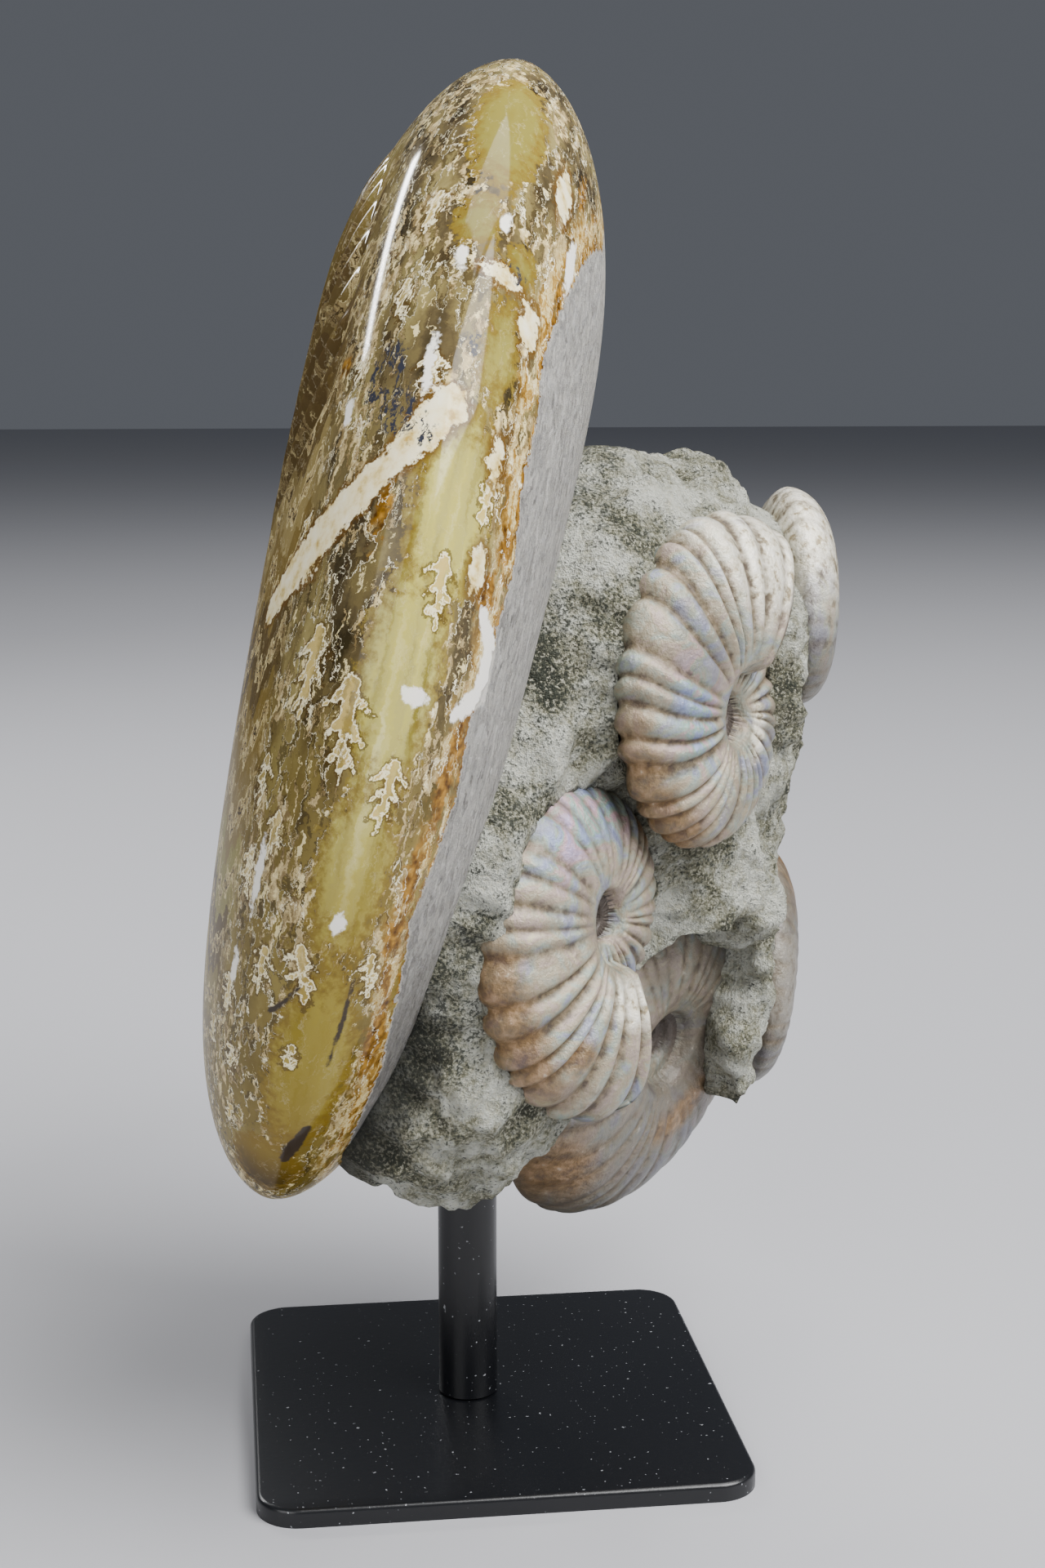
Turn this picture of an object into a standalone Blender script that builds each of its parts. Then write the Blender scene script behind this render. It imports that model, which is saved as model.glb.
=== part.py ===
"""A polished ammonite with a cluster of small ribbed ammonites in sandstone, on a steel plate and post.

Metres, +Z up. The origin is at the middle of the plate's underside. The stone and its fossils are set out in a
frame of their own, which is the plate's frame turned a few degrees about the post.
"""

import math
from dataclasses import dataclass
from functools import partial

import bmesh
import bpy
from mathutils import Matrix, Vector, noise

MM = 0.001
GAP = 0.3 * MM
SHARP_ANGLE = math.radians(35)
WELD_DISTANCE = 0.001 * MM

# The steel stand
PLATE_SIDE = 80 * MM
PLATE_THICKNESS = 3 * MM
PLATE_CORNER_RADIUS = 7 * MM
PLATE_EDGE_RADIUS = 0.8 * MM
POST_DIAMETER = 10 * MM
POST_PLACE = Vector((-3 * MM, 0))
POST_TOP = 66 * MM
POST_SIDES = 32

# The stone's own frame, turned about the vertical on the plate
STONE_TURN = math.radians(-7.3)


@dataclass
class Shell:
    """One ammonite: a logarithmic spiral tube, flat-sided and coiled in one plane.

    facing is the azimuth and elevation in degrees of the front flank's normal in the stone's frame (azimuth 0 is
    +X, -90 is towards the viewer). aperture is the angle in degrees of the shell's mouth, seen from the front and
    counted anticlockwise from the right. turn is 1 where the shell grows anticlockwise, -1 where clockwise.
    """

    name: str
    middle: Vector
    facing: tuple
    aperture: float
    turn: int
    radius: float
    expansion: float
    half_width: float
    ribs: int
    rib_height: float
    sweep: float
    both_flanks: bool = False
    turns: float = 2.0


LARGE = Shell(
    name="large_ammonite",
    middle=Vector((-17.6, 0, 120)) * MM,
    facing=(181.6, 13.0),
    aperture=135,
    turn=1,
    radius=116.5 * MM,
    expansion=2.0,
    half_width=0.215,
    ribs=36,
    rib_height=0.011,
    sweep=22,
    both_flanks=True,
)

SMALL = [
    Shell(
        name="small_ammonite_upper",
        middle=Vector((35, -26, 125)) * MM,
        facing=(-34, 2),
        aperture=58,
        turn=-1,
        radius=32 * MM,
        expansion=2.2,
        half_width=0.30,
        ribs=30,
        rib_height=0.05,
        sweep=4,
    ),
    Shell(
        name="small_ammonite_middle",
        middle=Vector((15.5, -40, 96)) * MM,
        facing=(-35, 3),
        aperture=-78,
        turn=1,
        radius=31.5 * MM,
        expansion=2.2,
        half_width=0.30,
        ribs=30,
        rib_height=0.05,
        sweep=-8,
    ),
    Shell(
        name="small_ammonite_bottom",
        middle=Vector((25.5, -3, 68)) * MM,
        facing=(-38, -13),
        aperture=190,
        turn=-1,
        radius=35.5 * MM,
        expansion=1.7,
        half_width=0.30,
        ribs=28,
        rib_height=0.035,
        sweep=4,
    ),
    Shell(
        name="small_ammonite_upper_back",
        middle=Vector((51.5, 8, 136)) * MM,
        facing=(4, 2),
        aperture=30,
        turn=-1,
        radius=24 * MM,
        expansion=2.2,
        half_width=0.32,
        ribs=24,
        rib_height=0.02,
        sweep=4,
    ),
    Shell(
        name="small_ammonite_lower_back",
        middle=Vector((48, 30, 67)) * MM,
        facing=(4, -4),
        aperture=20,
        turn=-1,
        radius=29 * MM,
        expansion=2.2,
        half_width=0.26,
        ribs=24,
        rib_height=0.03,
        sweep=4,
    ),
]

# The shell's section, as fractions of its outer radius: the umbilicus, the shoulder over it and the widest place
UMBILICUS = 0.2
SHOULDER = 0.27
WIDEST = 0.47
SHOULDER_SHARE = 0.88
SEAM_SHARE = 0.97
# How the flank rounds over to the venter: a flat start, then a blunt edge
VENTER_FLATNESS = 2.2
VENTER_BLUNTNESS = 0.55
# Places across a flank, from the next whorl's seam out to the venter
LARGE_FLANK = (0.55, 0.72, 0.87, 0.965)
SMALL_FLANK = (0.66, 0.9)
# The buried flank of a small shell: place across the whorl, and depth as a share of the half width
BURIED_FLANK = ((0.9, 0.45), (0.5, 0.75))
RIB_START_WIDTH = 0.2
# The large shell is ground smooth outside this place across its flank
POLISHED_FROM = 0.9

# The sandstone, as lumps that run together: centre and half sizes in mm in its own frame
STONE_LUMPS = (
    ((18, -8, 136), (24, 36, 27)),
    ((36, 4, 128), (15, 24, 30)),
    ((1, -34, 98), (19, 31, 32)),
    ((28, 4, 96), (21, 28, 28)),
    ((-8, -30, 66), (21, 26, 15)),
    ((24, 14, 72), (20, 26, 22)),
    ((10, 22, 112), (18, 24, 36)),
)
STONE_GRID = 8 * MM
STONE_ROUGHNESS = 1.2 * MM
STONE_ROUGHNESS_SIZE = 17 * MM
STONE_ROUGHNESS_LEVELS = 3

# The hollows in the stone that the shells and the post sit in
SOCKET_STEPS = 24
SOCKET_REACH = 26 * MM
SOCKET_MOUTH_ROOM = 6
SOCKET_OVERSIZE = 1.015
POST_HOLE_CLEARANCE = 0.4 * MM
POST_HOLE_LENGTH = 60 * MM
POST_HOLE_SIDES = 16


def clear_scene():
    for thing in list(bpy.data.objects):
        bpy.data.objects.remove(thing)


def new_collection(name):
    collection = bpy.data.collections.new(name)
    bpy.context.scene.collection.children.link(collection)
    return collection


def material(name, colour, roughness, metallic=0.0):
    made = bpy.data.materials.new(name)
    made.use_nodes = True
    shader = made.node_tree.nodes["Principled BSDF"]
    shader.inputs["Base Color"].default_value = (*colour, 1)
    shader.inputs["Roughness"].default_value = roughness
    shader.inputs["Metallic"].default_value = metallic
    return made


def new_object(name, mesh_maker, collection, finish, parent=None):
    """An object whose mesh is what mesh_maker leaves in an empty bmesh."""
    mesh = bpy.data.meshes.new(name)
    body = bmesh.new()
    mesh_maker(body)
    bmesh.ops.recalc_face_normals(body, faces=body.faces)
    body.to_mesh(mesh)
    body.free()
    mesh.shade_smooth()
    mesh.set_sharp_from_angle(angle=SHARP_ANGLE)
    mesh.materials.append(finish)
    made = bpy.data.objects.new(name, mesh)
    made.parent = parent
    collection.objects.link(made)
    return made


def fill_plate(body):
    """The plate: a flat box with its four upright edges and then its top rim rounded."""
    bmesh.ops.create_cube(body, size=1)
    size = Vector((PLATE_SIDE, PLATE_SIDE, PLATE_THICKNESS))
    bmesh.ops.scale(body, vec=size, verts=body.verts)
    bmesh.ops.translate(body, vec=(0, 0, PLATE_THICKNESS / 2), verts=body.verts)
    upright = [edge for edge in body.edges if abs((edge.verts[0].co - edge.verts[1].co).z) > PLATE_THICKNESS / 2]
    bmesh.ops.bevel(body, geom=upright, offset=PLATE_CORNER_RADIUS, segments=5, profile=0.5, affect="EDGES")
    rim = [edge for edge in body.edges if min(point.co.z for point in edge.verts) > PLATE_THICKNESS * 0.99]
    bmesh.ops.bevel(body, geom=rim, offset=PLATE_EDGE_RADIUS, segments=2, profile=0.5, affect="EDGES")


def add_rod(body, radius, bottom, top, sides):
    """A closed upright cylinder at the post's place."""
    place = Matrix.Translation((*POST_PLACE, (bottom + top) / 2))
    bmesh.ops.create_cone(
        body, cap_ends=True, segments=sides, radius1=radius, radius2=radius, depth=top - bottom, matrix=place
    )


def fill_post(body):
    add_rod(body, POST_DIAMETER / 2, PLATE_THICKNESS + GAP, POST_TOP, POST_SIDES)


def half_thickness(across, shell):
    """Half the shell's width at a place across the whorl, as a fraction of the outer radius there."""
    seam = shell.half_width * SEAM_SHARE / shell.expansion
    shoulder = shell.half_width * SHOULDER_SHARE
    if across < SHOULDER:
        rise = (across - UMBILICUS) / (SHOULDER - UMBILICUS)
        return seam + (shoulder - seam) * math.sin(rise * math.pi / 2)
    if across < WIDEST:
        rise = (across - SHOULDER) / (WIDEST - SHOULDER)
        return shoulder + (shell.half_width - shoulder) * math.sin(rise * math.pi / 2)
    fall = (across - WIDEST) / (1 - WIDEST)
    return shell.half_width * max(0, 1 - fall**VENTER_FLATNESS) ** VENTER_BLUNTNESS


def flank_places(shell):
    return LARGE_FLANK if shell.both_flanks else SMALL_FLANK


def back_rows(shell):
    """The buried or right flank, from the venter inwards: place across the whorl and height, as fractions."""
    if shell.both_flanks:
        places = (*flank_places(shell)[::-1], UMBILICUS * shell.expansion, UMBILICUS)
        return [(across, -half_thickness(across, shell)) for across in places]
    return [(across, -depth * shell.half_width) for across, depth in BURIED_FLANK]


def spiral_place(shell, across, turned):
    """Radius and angle of a place across the whorl, turned so many degrees past the mouth, on its growth line."""
    inner_seam = UMBILICUS * shell.expansion
    turned += max(0, (across - inner_seam) / (1 - inner_seam)) ** 2 * shell.sweep
    return shell.radius * shell.expansion ** (turned / 360), math.radians(shell.aperture + shell.turn * turned)


def close_mouth(body, points, steps, per_turn, last_row, shell):
    """Closes the mouth of the shell, from the last whorl's rim down to the whorl inside it."""
    rows = range(1, last_row - 1 if shell.both_flanks else last_row)
    for row in rows:
        rim = [points[steps, row], points[steps, row + 1]]
        inner = [points[steps - per_turn, row + 1], points[steps - per_turn, row]]
        body.faces.new(rim + inner)


def fill_shell(body, shell):
    """The shell: a grid of growth steps by places across the whorl, wound up and welded to the whorl inside it."""
    front = [UMBILICUS, UMBILICUS * shell.expansion, *flank_places(shell)]
    rows = [(across, half_thickness(across, shell)) for across in front] + [(1, 0)] + back_rows(shell)
    venter_row = len(front)
    last_row = len(rows) - 1
    per_turn = shell.ribs * 2
    steps = round(per_turn * shell.turns)
    bmesh.ops.create_grid(body, x_segments=steps, y_segments=last_row, size=1)
    grid = {}
    for point in body.verts:
        step = round((point.co.x + 1) / 2 * steps)
        row = round((point.co.y + 1) / 2 * last_row)
        grid[point] = (step, row)

    # Where the next whorl covers this one, only the strips beside the umbilicus are kept
    covered_rows = range(1, last_row - 1 if shell.both_flanks else last_row)
    covered = []
    for face in body.faces:
        step = min(grid[point][0] for point in face.verts)
        row = min(grid[point][1] for point in face.verts)
        if step < steps - per_turn and row in covered_rows:
            covered.append(face)
    for point, (step, row) in grid.items():
        across, height = rows[row]
        radius, angle = spiral_place(shell, across, (step - steps) * 360 / per_turn)
        rib = 0
        if row <= venter_row and not (shell.both_flanks and across > POLISHED_FROM):
            strength = min(1, max(0, (across - SHOULDER) / RIB_START_WIDTH))
            rib = shell.rib_height * strength / 2
            if step % 2 == 0:
                rib = -rib
        out = across + (rib if row == venter_row else 0)
        height += rib if row < venter_row else 0
        if row == last_row and not shell.both_flanks:
            height *= shell.radius / radius
        point.co = Vector((out * math.cos(angle), out * math.sin(angle), height)) * radius
    close_mouth(body, {place: point for point, place in grid.items()}, steps, per_turn, last_row, shell)
    bmesh.ops.delete(body, geom=covered, context="FACES")
    bmesh.ops.remove_doubles(body, verts=body.verts, dist=WELD_DISTANCE)
    rims = [edge for edge in body.edges if edge.is_boundary]
    filled = bmesh.ops.holes_fill(body, edges=rims, sides=0)
    bmesh.ops.triangulate(body, faces=filled["faces"])


def fill_socket(body, shell):
    """The hollow that a shell sits in: its buried flank with room to spare, drawn out past the stone's face."""
    rows = [(1, None), (1, 0), *back_rows(shell)]
    last_row = len(rows) - 1
    last_step = SOCKET_STEPS + 1
    clearance = GAP if shell.both_flanks else GAP + shell.rib_height * shell.radius / 2
    bmesh.ops.create_grid(body, x_segments=last_step, y_segments=last_row, size=1)
    for point in body.verts:
        # The last step lies on the first one, so that welding them closes the step at the shell's mouth
        step = round((point.co.x + 1) / 2 * last_step) % last_step
        across, height = rows[round((point.co.y + 1) / 2 * last_row)]
        room = SOCKET_MOUTH_ROOM if step in (0, SOCKET_STEPS) else 0
        radius, angle = spiral_place(shell, across, (step / SOCKET_STEPS - 1) * 360 + room)
        out = across * radius * SOCKET_OVERSIZE + clearance
        depth = SOCKET_REACH if height is None else height * radius - clearance * (height < 0)
        if (across, height) == rows[-1]:
            depth = height * shell.radius - clearance
        point.co = (out * math.cos(angle), out * math.sin(angle), depth)
    bmesh.ops.remove_doubles(body, verts=body.verts, dist=WELD_DISTANCE)
    rims = [edge for edge in body.edges if edge.is_boundary]
    filled = bmesh.ops.holes_fill(body, edges=rims, sides=0)
    bmesh.ops.triangulate(body, faces=filled["faces"])


def fill_post_hole(body):
    """The drilled hole that holds the post's top end."""
    radius = POST_DIAMETER / 2 + POST_HOLE_CLEARANCE
    top = POST_TOP + POST_HOLE_CLEARANCE
    add_rod(body, radius, top - POST_HOLE_LENGTH, top, POST_HOLE_SIDES)


def fill_stone(body):
    """The stone before it is hollowed: its lumps as one metaball surface, roughened along its normals."""
    lumps = bpy.data.metaballs.new("stone_lumps")
    lumps.resolution = STONE_GRID
    ball_reach = math.sqrt(1 - (lumps.threshold / 2) ** (1 / 3))
    for middle, half_sizes in STONE_LUMPS:
        lump = lumps.elements.new(type="ELLIPSOID")
        lump.co = Vector(middle) * MM
        lump.radius = 1
        lump.size_x, lump.size_y, lump.size_z = (half * MM / ball_reach for half in half_sizes)
    guide = bpy.data.objects.new("stone_lumps", lumps)
    bpy.context.scene.collection.objects.link(guide)
    bpy.context.view_layer.update()
    surface = bpy.data.meshes.new_from_object(guide.evaluated_get(bpy.context.evaluated_depsgraph_get()))
    body.from_mesh(surface)
    bpy.data.objects.remove(guide)
    bpy.data.meshes.remove(surface)
    bmesh.ops.remove_doubles(body, verts=body.verts, dist=WELD_DISTANCE)
    body.normal_update()
    moves = {}
    for point in body.verts:
        rise = noise.fractal(point.co / STONE_ROUGHNESS_SIZE, 1, 2, STONE_ROUGHNESS_LEVELS)
        moves[point] = point.normal * rise * STONE_ROUGHNESS
    for point, move in moves.items():
        point.co += move


def stand_shell(thing, shell):
    """Puts a shell in its place in the stone's frame, its front flank turned the way that it faces."""
    azimuth, elevation = (math.radians(value) for value in shell.facing)
    flat = math.cos(elevation)
    facing = Vector((flat * math.cos(azimuth), flat * math.sin(azimuth), math.sin(elevation)))
    up = (Vector((0, 0, 1)) - facing * facing.z).normalized()
    axes = Matrix((up.cross(facing), up, facing)).transposed().to_4x4()
    thing.matrix_local = Matrix.Translation(shell.middle) @ axes


def hollow_out(stone, cutter):
    cutter.hide_render = True
    cutter.display_type = "WIRE"
    cut = stone.modifiers.new(cutter.name, "BOOLEAN")
    cut.operation = "DIFFERENCE"
    cut.object = cutter


def main():
    clear_scene()
    parts = new_collection("ammonite_on_stand")
    cutters = new_collection("cutters")
    black = material("black painted steel", (0.012, 0.012, 0.014), 0.35)
    calcite = material("polished calcite and shell", (0.42, 0.33, 0.14), 0.12)
    sandstone = material("glauconitic sandstone", (0.24, 0.26, 0.20), 0.9)
    nacre = material("mother-of-pearl shell", (0.55, 0.45, 0.38), 0.3)

    stone_frame = bpy.data.objects.new("stone_frame", None)
    stone_frame.rotation_euler.z = STONE_TURN
    parts.objects.link(stone_frame)

    new_object("base_plate", fill_plate, parts, black)
    new_object("post", fill_post, parts, black)
    stone = new_object("matrix", fill_stone, parts, sandstone, stone_frame)
    hollow_out(stone, new_object("post_hole", fill_post_hole, cutters, sandstone))
    for shell in [LARGE, *SMALL]:
        finish = calcite if shell is LARGE else nacre
        made = new_object(shell.name, partial(fill_shell, shell=shell), parts, finish, stone_frame)
        stand_shell(made, shell)
        socket_name = shell.name + "_socket"
        socket = new_object(socket_name, partial(fill_socket, shell=shell), cutters, sandstone, stone_frame)
        stand_shell(socket, shell)
        hollow_out(stone, socket)


main()
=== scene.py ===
"""A polished ammonite with a cluster of small ribbed ammonites in sandstone, on a black steel stand.

Laid out as an add-on and run as a script. The frame's solids come first. The stone, the shells and the stand are
then modelled in fine detail in their places, in metres.
"""

import math
from dataclasses import dataclass

import bpy
import numpy as np
from mathutils import Matrix, Vector, noise
from mathutils.bvhtree import BVHTree


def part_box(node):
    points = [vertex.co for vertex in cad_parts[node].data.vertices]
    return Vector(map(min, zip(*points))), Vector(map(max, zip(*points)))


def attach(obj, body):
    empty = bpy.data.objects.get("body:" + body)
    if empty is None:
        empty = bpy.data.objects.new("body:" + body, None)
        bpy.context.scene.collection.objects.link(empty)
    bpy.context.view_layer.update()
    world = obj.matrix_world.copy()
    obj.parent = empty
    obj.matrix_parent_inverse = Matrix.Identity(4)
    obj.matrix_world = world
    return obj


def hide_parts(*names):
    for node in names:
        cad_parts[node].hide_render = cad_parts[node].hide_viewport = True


bl_info = {
    "name": "Ammonite on stand",
    "version": (1, 0, 0),
    "blender": (4, 5, 0),
    "location": "View3D > Sidebar > Ammonite",
    "description": "Builds a polished fossil ammonite cluster on a steel stand",
    "category": "Add Mesh",
}

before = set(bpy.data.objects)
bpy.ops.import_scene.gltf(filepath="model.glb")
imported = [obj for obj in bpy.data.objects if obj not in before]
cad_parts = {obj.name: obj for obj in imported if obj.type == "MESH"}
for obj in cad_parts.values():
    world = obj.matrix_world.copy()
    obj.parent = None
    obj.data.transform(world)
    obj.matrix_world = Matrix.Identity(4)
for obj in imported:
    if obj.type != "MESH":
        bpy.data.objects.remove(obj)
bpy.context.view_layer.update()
MM = 0.001

# The stone's own frame is the plate's, turned about the vertical
STONE_TURN = math.radians(-7.3)

# Ridges of stone that cover the edges of the shells behind: middle and half sizes in mm
RIDGES = (
    ((47, -17, 129), (3, 5, 13)),
    ((45.5, -3, 82), (4, 8, 20)),
    ((42, -4, 66), (4, 7, 14)),
    ((41, -11, 93), (8, 9, 11)),
)
# How far beside the large shell and the small ones the stone is painted darker: painted shade by the large shell, and
# olive-brown dirt with painted shade by the small ones
BESIDE = (14 * MM, 5 * MM)
# The stone ends this far under a shell's surface, and closes on it over this share of the hug
STONE_DEPTH = 0.5 * MM
HUG_FADE = 0.6
# Points nearer than this are made one, and edges flatter than this are shaded smooth
WELD = 0.002 * MM
SMOOTH_ANGLE = math.radians(40)

# The camera fits the plate's corners: place in metres, tilt and turn in degrees, focal length for 36 mm of sensor
CAMERA_PLACE = (-0.0418, -0.3754, 0.1777)
CAMERA_TILT = 79.71
CAMERA_TURN = -7.33
LENS = 53.44
# Area lights, all turned to LIT_PLACE: name, place and two sides in metres, power in watts
LIT_PLACE = Vector((0, 0, 0.11))
LIGHTS = (
    ("key", (0.75, -0.7, 1.3), 1.1, 1.1, 62),
    ("fill", (-1.1, -1.3, 0.9), 1.3, 1.3, 17),
    ("top", (0.3, 0.3, 1.7), 1.0, 1.0, 20),
    ("edge", (-0.41, 0.69, 0.55), 0.42, 0.03, 2.4),
)


def linear(hex_colour):
    """The linear colour of an sRGB hex value."""
    parts = [int(hex_colour[start : start + 2], 16) / 255 for start in (1, 3, 5)]
    return tuple(part / 12.92 if part <= 0.04045 else ((part + 0.055) / 1.055) ** 2.4 for part in parts)


def rgba(colour):
    """A colour that is given as an sRGB hex value or as linear parts, with full opacity."""
    return (*(linear(colour) if isinstance(colour, str) else colour), 1)


@dataclass
class Shell:
    """One ammonite: a logarithmic spiral tube, flat-sided and coiled in one plane.

    facing is the azimuth and elevation in degrees of the front flank's normal in the stone's frame. aperture is the
    angle in degrees of the shell's mouth, seen from the front. turn is 1 where the shell grows anticlockwise.
    """

    name: str
    middle: tuple
    facing: tuple
    aperture: float
    radius: float
    rib_height: float
    turn: int = -1
    expansion: float = 2.2
    half_width: float = 0.3
    ribs: int = 30
    sweep: float = 4
    steps_per_rib: int = 12
    turns: float = 4
    flank_rows: int = 30
    seam_rows: int = 8
    back_share: float = 0.76
    polished: bool = False
    # How far the ribs bow backwards at the venter, in degrees
    bow: float = 0
    # Coloured or smooth areas, and areas of painted shade: kind, degrees past the mouth, place across, reach in
    # degrees, reach across
    areas: tuple = ()


LARGE = Shell(
    name="large_ammonite",
    middle=(-17.6, 0, 120),
    facing=(181.6, 13.0),
    aperture=135,
    turn=1,
    radius=116.5 * MM,
    expansion=2.0,
    half_width=0.215,
    ribs=60,
    rib_height=0.027,
    sweep=22,
    steps_per_rib=9,
    turns=3,
    flank_rows=66,
    seam_rows=6,
    back_share=1.0,
    polished=True,
)

SMALL = [
    Shell(
        name="small_ammonite_upper",
        middle=(35, -26, 125),
        facing=(-34, 2),
        aperture=58,
        radius=32 * MM,
        rib_height=0.062,
        bow=10,
        areas=(
            ("cream", -20, 0.75, 60, 0.5),
            ("rust", -165, 1.0, 70, 0.25),
            ("smooth", -8, 0.6, 40, 0.6),
            ("cream", -270, 0.4, 60, 0.15),
            ("blue", -115, 0.65, 60, 0.3),
        ),
    ),
    Shell(
        name="small_ammonite_middle",
        middle=(15.5, -40, 96),
        facing=(-35, 3),
        aperture=-78,
        turn=1,
        radius=31.5 * MM,
        rib_height=0.062,
        sweep=-8,
        bow=26,
        areas=(
            ("smooth", -190, 0.6, 120, 0.9),
            ("blue", -170, 0.8, 75, 0.35),
            ("cream", -15, 0.4, 55, 0.2),
            ("rust", -70, 0.97, 50, 0.2),
            ("rust", -45, 0.75, 12, 0.15),
            ("rust", -235, 0.9, 30, 0.2),
        ),
    ),
    Shell(
        name="small_ammonite_bottom",
        middle=(25.5, -3, 68),
        facing=(-38, -13),
        aperture=190,
        radius=35.5 * MM,
        expansion=1.7,
        rib_height=0.035,
        bow=12,
        areas=(
            ("smooth", -150, 0.6, 330, 1.8),
            ("painted_shade", -120, 0.6, 300, 1.8),
            ("rust", -25, 0.85, 26, 0.3),
            ("rust", -175, 0.7, 60, 0.3),
            ("blue", -100, 0.7, 40, 0.3),
            ("rust", -100, 0.45, 60, 0.15),
        ),
    ),
    Shell(
        name="small_ammonite_upper_back",
        middle=(51.5, 8, 136),
        facing=(4, 2),
        aperture=30,
        radius=24 * MM,
        half_width=0.32,
        ribs=26,
        rib_height=0.02,
        areas=(
            ("smooth", -150, 0.8, 500, 2.4),
            ("cream", -50, 0.9, 150, 2.0),
            ("painted_shade", -225, 0.9, 120, 1.6),
        ),
    ),
    Shell(
        name="small_ammonite_lower_back",
        middle=(48, 30, 67),
        facing=(4, -4),
        aperture=20,
        radius=29 * MM,
        half_width=0.26,
        ribs=28,
        rib_height=0.03,
        areas=(
            ("smooth", -150, 0.8, 260, 0.9),
            ("painted_shade", -150, 0.8, 300, 1.6),
            ("rust", -60, 0.8, 60, 0.4),
            ("cream", -150, 0.9, 50, 0.3),
        ),
    ),
]

# The shell's section, as fractions of its outer radius
UMBILICUS = 0.2
SHOULDER = 0.27
WIDEST = 0.47
SHOULDER_SHARE = 0.88
VENTER_FLATNESS = 2.2
VENTER_BLUNTNESS = 0.55
SEAM_RISE = 0.9
SECTION_SAMPLES = 3000
RIB_START_WIDTH = 0.2
# The levels of a rib's wave that lie on the plain surface and in its plain colour
PLAIN_RIB = 0.7
PLAIN_CREST = 0.6
# The inner whorls are pitted: degrees past the mouth where it starts, and over which it grows
PITS = (-380, 200)
# The mouth's lid: steps, hollow in radians, end inside the inner whorl, pattern length, steps left uncovered
LID_STEPS = 8
LID_DEPTH = math.radians(5)
LID_END = 0.97
LID_LENGTH = 48 * MM
LID_OVERLAP = 12
# The polish leaves the large shell's ribs only this near the mouth, in degrees past it
LAST_RIB = -112
RIB_FADE = 12
# They stand between these places across the whorl, and fade over these widths
RIB_BAND = (0.55, 0.84)
BAND_FADES = (0.12, 0.06)
# The large shell's grid is finest along its near edge: share of the steps against share of a turn from the mouth
# inwards, and share of the rows against share of the way from the seam to the venter
FINE_STEPS = ((0, 0.17, 0.87, 1), (0, 0.36, 0.83, 1))
FINE_ROWS = ((0, 0.4, 1), (0, 0.72, 1))


def new_material(name):
    made = bpy.data.materials.new(name)
    made.use_nodes = True
    made.node_tree.nodes.clear()
    return made


def add(finish, kind, inputs=None, output=0, stops=None, **settings):
    """Adds a node to a material and gives one of its outputs. Each input is a value, or an output to link."""
    node = finish.node_tree.nodes.new("ShaderNode" + kind)
    for name, value in settings.items():
        setattr(node, name, value)
    for key, value in (inputs or {}).items():
        if isinstance(value, bpy.types.NodeSocket):
            finish.node_tree.links.new(value, node.inputs[key])
        else:
            node.inputs[key].default_value = value
    for index, (place, colour) in enumerate(stops or ()):
        ramp = node.color_ramp.elements
        stop = ramp[index] if index < 2 else ramp.new(place)
        stop.position = place
        stop.color = rgba(colour)
    return node.outputs[output] if len(node.outputs) else node


def unit(values):
    """Values held between 0 and 1."""
    return np.clip(values, 0, 1)


def half_thickness(across, shell):
    """Half the shell's width at places across the whorl, as a fraction of the outer radius there."""
    rise = unit((across - SHOULDER) / (WIDEST - SHOULDER))
    share = SHOULDER_SHARE + (1 - SHOULDER_SHARE) * np.sin(rise * math.pi / 2)
    fall = unit((across - WIDEST) / (1 - WIDEST))
    share = share * (1 - fall**VENTER_FLATNESS) ** VENTER_BLUNTNESS
    seam = float(SHOULDER_SHARE + (1 - SHOULDER_SHARE) * SEAM_RISE) / shell.expansion
    wall = unit((across - UMBILICUS) / (SHOULDER - UMBILICUS))
    return shell.half_width * np.where(across < SHOULDER, seam + (share - seam) * np.sin(wall * math.pi / 2), share)


def section_rows(shell):
    """Place across, height and outward normal of each row, from the front seam over the venter to the back one."""
    seam = UMBILICUS * shell.expansion
    strip = np.linspace(UMBILICUS, seam, shell.seam_rows + 1)
    dense = 1 - (1 - seam) * np.linspace(1, 0, SECTION_SAMPLES) ** 2
    tall = half_thickness(dense, shell)
    length = np.concatenate([[0], np.cumsum(np.hypot(np.diff(dense), np.diff(tall)))])
    even = np.linspace(0, 1, shell.flank_rows + 1)
    if shell.polished:
        even = np.interp(even, *FINE_ROWS)
    even *= length[-1]
    across = np.concatenate([strip[:-1], np.interp(even, length, dense)])
    height = half_thickness(across, shell)
    height[-1] = 0
    across = np.concatenate([across, across[-2::-1]])
    height = np.concatenate([height, -height[-2::-1] * shell.back_share])
    along, up = np.gradient(across), np.gradient(height)
    normal = np.stack([-up, along], axis=1)
    normal /= np.linalg.norm(normal, axis=1, keepdims=True)
    return across, height, normal


def spiral_place(shell, across, turned):
    """Radius and angle of a place across the whorl, turned so many degrees past the mouth, on its growth line."""
    inner_seam = UMBILICUS * shell.expansion
    lag = np.clip((across - inner_seam) / (1 - inner_seam), 0, None) ** 2 * shell.sweep
    turned = turned + lag
    return shell.radius * shell.expansion ** (turned / 360), np.radians(shell.aperture + shell.turn * turned)


def standing(shell):
    """The matrix that puts a shell in its place, its front flank turned the way that it faces."""
    azimuth, elevation = (math.radians(value) for value in shell.facing)
    flat = math.cos(elevation)
    facing = Vector((flat * math.cos(azimuth), flat * math.sin(azimuth), math.sin(elevation)))
    up = (Vector((0, 0, 1)) - facing * facing.z).normalized()
    axes = Matrix((up.cross(facing), up, facing)).transposed().to_4x4()
    return Matrix.Rotation(STONE_TURN, 4, "Z") @ Matrix.Translation(Vector(shell.middle) * MM) @ axes


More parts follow.
